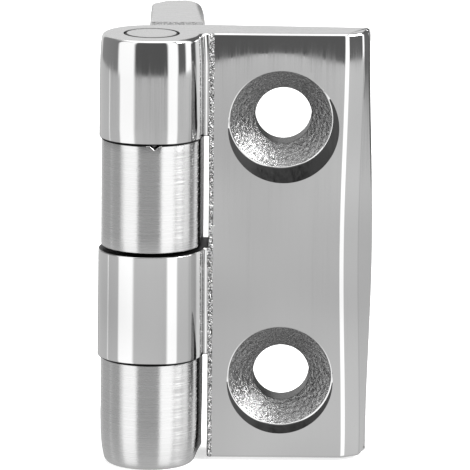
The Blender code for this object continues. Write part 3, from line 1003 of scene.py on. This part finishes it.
class HINGE_OT_pin(bpy.types.Operator):
    """Model the pin that the knuckles turn on"""

    bl_idname = "hinge.pin"
    bl_label = "Pin"
    bl_options = {"REGISTER", "UNDO"}

    def execute(self, context):
        piece = make_pin("turning_pin", context.scene.hinge_sizes, FRONT_HIGH)
        made = finishes()
        edge = context.scene.hinge_sizes.pin_radius - PIN_EDGE - NEAR
        # The pin's round side and its edge take the joint colour: painted shade in the groove at the top
        # knuckle
        paint(
            piece, {"ground": made["ground"], "joint": made["joint"]},
            lambda face: "joint" if (face.center.xy - AXIS).length > edge else "ground",
        )
        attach(piece, "front")
        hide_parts("hinge_pin")
        return {"FINISHED"}


class HINGE_OT_stage(bpy.types.Operator):
    """Set the camera, the pale floor, the soft light and the studio round the hinge"""

    bl_idname = "hinge.stage"
    bl_label = "Stage"
    bl_options = {"REGISTER", "UNDO"}

    def execute(self, context):
        studio = context.scene.hinge_studio
        set_camera(studio)
        set_floor(studio)
        set_lamp("soft_lamp", size=1.0, power=studio.lamp, place=(0.0, 0.0, 1.0))
        set_lamp("side_lamp", size=0.35, power=studio.side_lamp, place=(0.8, -0.15, 0.62))
        set_room()
        return {"FINISHED"}


def set_camera(studio):
    """Camera at the photograph's angle."""
    data = bpy.data.cameras.new("camera")
    data.lens = studio.lens
    data.sensor_width = 36.0
    data.clip_start = 0.01
    data.clip_end = 20.0
    camera = bpy.data.objects.new("camera", data)
    bpy.context.scene.collection.objects.link(camera)
    forward = Vector((0.0, math.cos(studio.pitch), -math.sin(studio.pitch)))
    right = Vector((1.0, 0.0, 0.0))
    up = right.cross(forward)
    along, upward = math.cos(studio.roll), math.sin(studio.roll)
    aim = Vector((AXIS.x + studio.aim_across, AXIS.y, studio.aim_height))
    turn = Matrix((right * along + up * upward, up * along - right * upward, -forward)).transposed().to_4x4()
    camera.matrix_world = Matrix.Translation(aim - forward * studio.distance) @ turn
    bpy.context.scene.camera = camera


def set_floor(studio):
    """Pale floor that shows white to the camera and keeps the hinge's shadow."""
    deselect()
    bpy.ops.mesh.primitive_plane_add(size=3.0, location=(0.0, 0.0, 0.0))
    floor = bpy.context.object
    floor.name = "floor"
    material = bpy.data.materials.new("pale_floor")
    material.use_nodes = True
    tree = material.node_tree
    shader = tree.nodes["Principled BSDF"]
    shader.inputs["Base Color"].default_value = (*studio.floor, 1.0)
    shader.inputs["Roughness"].default_value = 0.9
    shader.inputs["Specular IOR Level"].default_value = 0.0
    shader.inputs["Emission Color"].default_value = (1.0, 1.0, 1.0, 1.0)
    seen = add(tree, "ShaderNodeLightPath").outputs["Is Camera Ray"]
    glow = add(tree, "ShaderNodeMath", seen, studio.floor_glow, operation="MULTIPLY")
    feed(tree, shader.inputs["Emission Strength"], glow.outputs[0])
    floor.data.materials.append(material)
    floor.visible_glossy = False
    floor.visible_shadow = False


def set_lamp(name, size, power, place):
    """Wide soft lamp that faces the hinge."""
    data = bpy.data.lights.new(name, "AREA")
    data.shape = "SQUARE"
    data.size = size
    data.energy = power
    lamp = bpy.data.objects.new(name, data)
    lamp.location = place
    lamp.rotation_euler = Vector(place).to_track_quat("Z", "Y").to_euler()
    bpy.context.scene.collection.objects.link(lamp)


# The walls of the room, below and above a line all round that is lower than the hinge: each stop
# is a bearing in degrees, 0 toward the camera and 90 to the right, and the brightness there
WALLS_BELOW = (
    (-180, 0.04), (-170, 0.04), (-160, 0.33), (-112, 0.33), (-107, 0.36), (-105, 0.75), (-103, 0.32),
    (-69, 0.33), (-65, 0.74), (-33, 0.76), (-28, 0.36), (22, 0.36), (27, 0.80), (54, 0.80), (60, 0.39),
    (92, 0.38), (97, 0.31), (120, 0.34), (160, 0.30), (170, 0.04), (180, 0.04),
)
WALLS_ABOVE = (
    (-180, 0.43), (-150, 0.43), (-142, 0.16), (-76, 0.14), (-70, 0.76), (-33, 0.78), (-28, 0.065),
    (22, 0.065), (27, 0.80), (56, 0.80), (63, 0.08), (82, 0.08), (87, 0.80), (103, 0.80),
    (108, 0.08), (168, 0.08), (174, 0.43), (180, 0.43),
)
GROUND = (0.33, 0.33, 0.33, 1.0)
CEILING = (0.45, 0.45, 0.45, 1.0)


def walls(tree, bearing, stops):
    """Colour of the walls along a bearing."""
    share = spread(tree, bearing, 0.0, 1.0, -math.pi, math.pi)
    ramp = add(tree, "ShaderNodeValToRGB", share)
    elements = ramp.color_ramp.elements
    while len(elements) > 1:
        elements.remove(elements[-1])
    for k, (degrees, level) in enumerate(stops):
        where = (degrees + 180) / 360
        element = elements.new(where) if k else elements[0]
        element.position = where
        element.color = (level, level, level, 1.0)
    return ramp.outputs["Color"]


def set_room():
    """Room that the steel mirrors, and white for the camera."""
    world = bpy.data.worlds.new("studio")
    world.use_nodes = True
    bpy.context.scene.world = world
    tree = world.node_tree
    tree.nodes.clear()
    place = add(tree, "ShaderNodeTexCoord").outputs["Generated"]
    apart = add(tree, "ShaderNodeSeparateXYZ", place).outputs
    toward = add(tree, "ShaderNodeMath", apart["Y"], -1.0, operation="MULTIPLY").outputs[0]
    bearing = add(tree, "ShaderNodeMath", apart["X"], toward, operation="ARCTAN2").outputs[0]
    rise = add(tree, "ShaderNodeMath", apart["Z"], operation="ARCSINE").outputs[0]

    # The line between the walls lies lower at the back on the right
    dip = spread(tree, bearing, 0.0, math.radians(1.5), math.radians(118), math.radians(128))
    line = add(tree, "ShaderNodeMath", rise, dip, operation="ADD").outputs[0]
    below = walls(tree, bearing, WALLS_BELOW)
    above = walls(tree, bearing, WALLS_ABOVE)
    band = mix(tree, line, math.radians(-9.3), math.radians(-8.9), below, above)
    grounded = mix(tree, rise, math.radians(-50), math.radians(-30), GROUND, band)
    closed = mix(tree, rise, math.radians(40), math.radians(60), grounded, CEILING)

    room = add(tree, "ShaderNodeBackground", Color=closed, Strength=2.0).outputs[0]
    white = add(tree, "ShaderNodeBackground", Color=(1.0, 1.0, 1.0, 1.0), Strength=1.0).outputs[0]
    seen = add(tree, "ShaderNodeLightPath").outputs["Is Camera Ray"]
    choice = add(tree, "ShaderNodeMixShader", seen, room, white)
    add(tree, "ShaderNodeOutputWorld", Surface=choice.outputs[0])


class HINGE_PT_panel(bpy.types.Panel):
    """All settings of the hinge and its studio, and a button for each step"""

    bl_label = "Cast butt hinge"
    bl_idname = "HINGE_PT_panel"
    bl_space_type = "VIEW_3D"
    bl_region_type = "UI"
    bl_category = "Hinge"

    def draw(self, context):
        layout = self.layout
        for setting in SETTINGS:
            group = getattr(context.scene, setting)
            column = layout.column(align=True)
            for name in group.bl_rna.properties.keys():
                if name not in {"rna_type", "name"}:
                    column.prop(group, name)
        for operator in OPERATORS:
            layout.operator(operator.bl_idname)


SETTINGS = {
    "hinge_sizes": HingeSizes,
    "hinge_holes": HoleSizes,
    "hinge_finish": SteelFinish,
    "hinge_studio": StudioSettings,
}
OPERATORS = (HINGE_OT_front_leaf, HINGE_OT_rear_leaf, HINGE_OT_pin, HINGE_OT_stage)
CLASSES = (*SETTINGS.values(), *OPERATORS, HINGE_PT_panel)


def register():
    for cls in CLASSES:
        bpy.utils.register_class(cls)
    for name, group in SETTINGS.items():
        setattr(bpy.types.Scene, name, PointerProperty(type=group))


def unregister():
    for name in SETTINGS:
        delattr(bpy.types.Scene, name)
    for cls in reversed(CLASSES):
        bpy.utils.unregister_class(cls)


def main():
    register()
    bpy.context.scene.view_settings.view_transform = "Standard"
    bpy.ops.hinge.front_leaf()
    bpy.ops.hinge.rear_leaf()
    bpy.ops.hinge.pin()
    bpy.ops.hinge.stage()
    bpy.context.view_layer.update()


if __name__ == "__main__":
    main()
